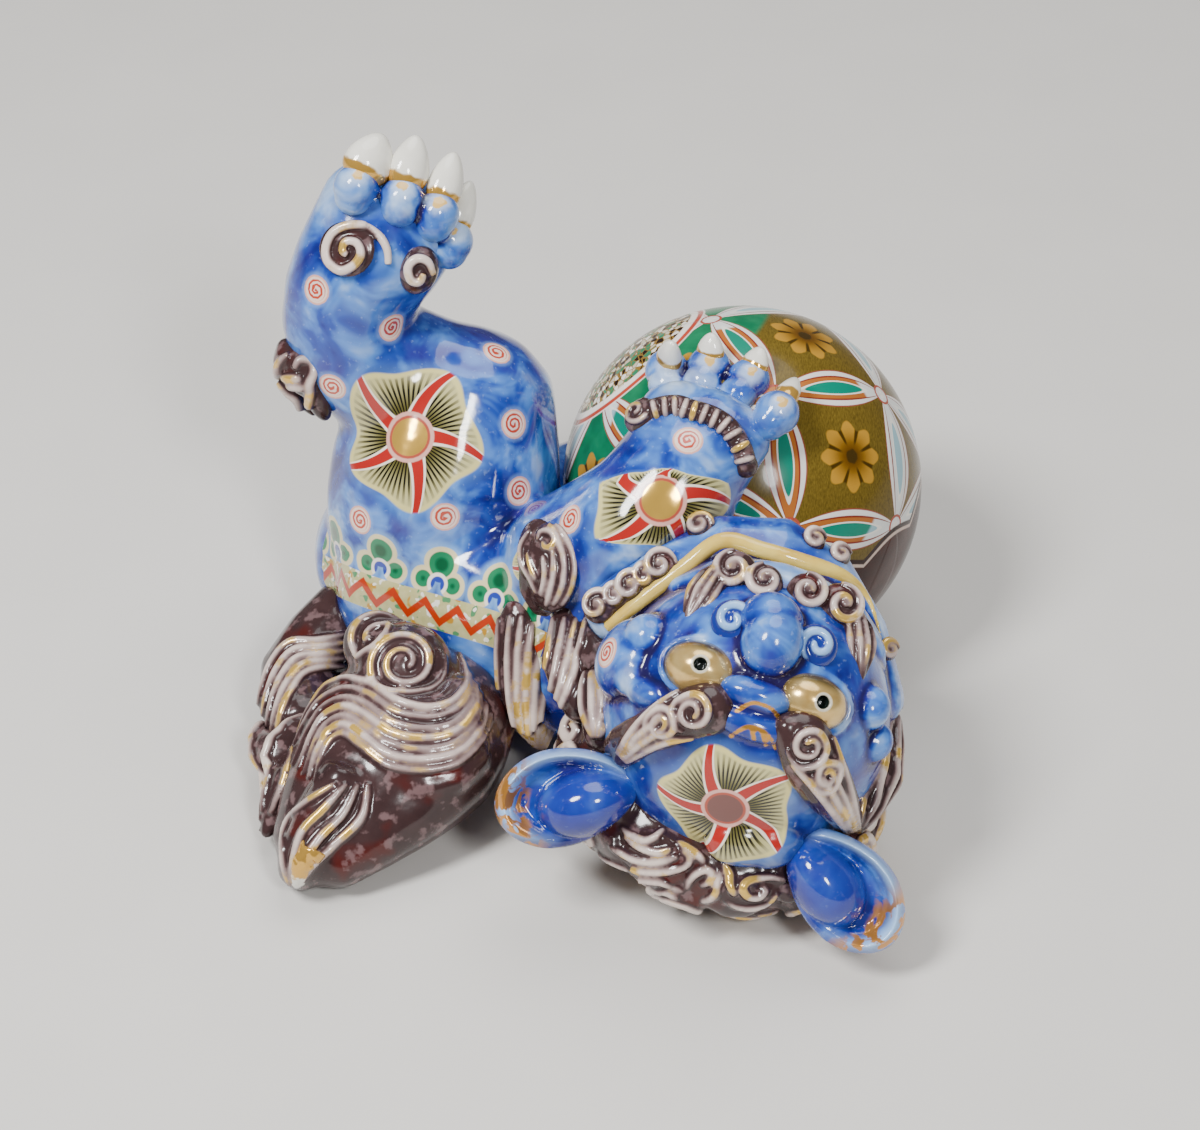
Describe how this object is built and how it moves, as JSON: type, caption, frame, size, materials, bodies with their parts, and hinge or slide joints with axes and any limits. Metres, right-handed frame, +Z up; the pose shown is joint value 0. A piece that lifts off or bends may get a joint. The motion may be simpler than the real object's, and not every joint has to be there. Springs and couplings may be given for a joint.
{
  "type": "guardian lion figurine",
  "caption": "Glazed porcelain guardian lion lying on its side, hugging a patterned ball with its forelegs and kicking one hind leg up; a desk or shelf ornament.",
  "frame": {"origin": "middle of the footprint, on the table plane that the ball's ground foot rests on", "axes": "+Z up from the table, +Y from the lion's back and crown towards the ball, +X towards the ball side, away from the tail"},
  "size_m": [0.149, 0.158, 0.1262],
  "materials": {
    "blue_glaze": "glossy mottled cobalt glaze with painted dots and star rosettes",
    "hair_glaze": "glossy mauve-brown glaze with pale raised hair lines",
    "gold_lustre": "gold lustre over glaze",
    "white_glaze": "glossy white glaze",
    "lip_glaze": "glossy yellow glaze",
    "ball_glaze": "glossy painted pattern of interlocking circles"
  },
  "bodies": {
    "root": {"ball": "ball_glaze", "torso": "blue_glaze", "head": "blue_glaze", "lower_jaw": "blue_glaze", "muzzle": "blue_glaze", "lip_roll": "lip_glaze", "nose": "blue_glaze", "nostril_curls": "blue_glaze", "left_eye": "gold_lustre", "right_eye": "gold_lustre", "left_eyebrow": "hair_glaze", "right_eyebrow": "hair_glaze", "brow_bridge": "blue_glaze", "moustache": "hair_glaze", "beard_curls": "hair_glaze", "cheek_knobs": "blue_glaze", "left_ear": "blue_glaze", "right_ear": "blue_glaze", "nape_mane": "hair_glaze", "left_cheek_mane": "hair_glaze", "right_cheek_mane": "hair_glaze", "neck_locks": "hair_glaze", "left_thigh": "blue_glaze", "left_shank": "blue_glaze", "left_hind_toes": "blue_glaze", "left_hind_claws": "white_glaze", "left_hock_tuft": "hair_glaze", "left_ankle_curls": "hair_glaze", "right_thigh": "blue_glaze", "right_shank": "blue_glaze", "right_hind_toes": "blue_glaze", "right_hind_claws": "white_glaze", "left_arm": "blue_glaze", "left_forearm": "blue_glaze", "left_fore_toes": "blue_glaze", "left_fore_claws": "white_glaze", "left_elbow_tuft": "hair_glaze", "left_wrist_curls": "hair_glaze", "right_arm": "blue_glaze", "right_forearm": "blue_glaze", "right_fore_toes": "blue_glaze", "right_fore_claws": "white_glaze", "tail_stem": "hair_glaze", "tail_plume": "hair_glaze", "tail_side_lock": "hair_glaze", "tail_curls": "hair_glaze", "tail_tip": "white_glaze"}
  },
  "joints": []
}
